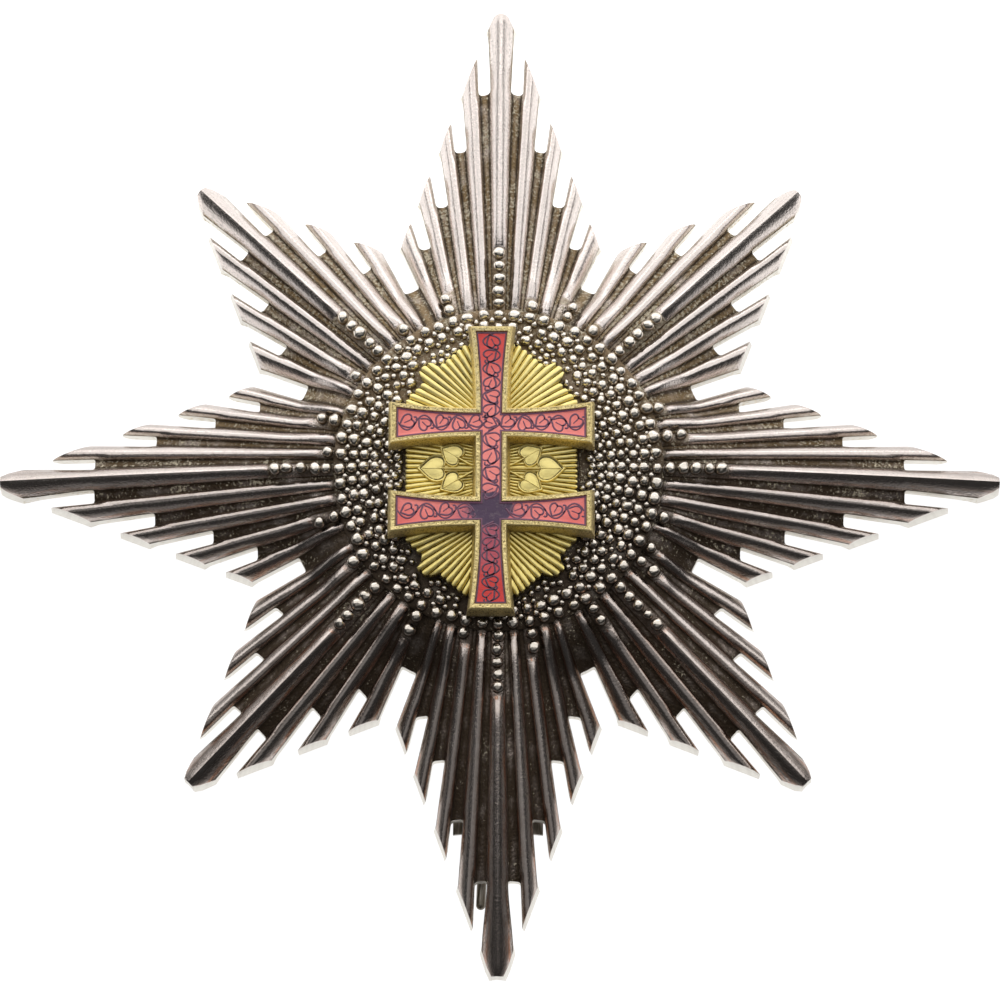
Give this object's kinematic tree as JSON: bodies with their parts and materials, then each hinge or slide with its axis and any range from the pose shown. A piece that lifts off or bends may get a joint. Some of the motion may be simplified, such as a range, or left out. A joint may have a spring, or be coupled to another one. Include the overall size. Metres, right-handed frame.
{
  "type": "breast star with enamelled double cross",
  "caption": "Eight-pointed silver breast star with roof-shaped arms of sawn rays, a pearled centre, a gilt rayed ground and a red enamelled double cross, pinned on at its back.",
  "frame": {"origin": "bottom centre of the box, on the surface that the star lies on, under the middle of the star", "axes": "+Z out of the front of the star, +Y along its upright arm, +X to the right as the front is seen"},
  "size_m": [0.09, 0.09, 0.0105],
  "materials": {
    "silver": "silver, bright on its ridges and dark with tarnish in its grooves",
    "beads": "polished silver beads on a dark tarnished ground",
    "gilt": "pale gilding, satin",
    "gilt_frame": "worn gilding, satin, paler along its edges",
    "red_enamel": "glossy red enamel with dark leaf scrolls",
    "pin_metal": "dull silver"
  },
  "bodies": {
    "root": {"star": "silver", "bead_field": "beads", "gilt_ground": "gilt", "cross_frame": "gilt_frame", "cross_enamel": "red_enamel", "brooch_pin": "pin_metal"}
  },
  "joints": []
}
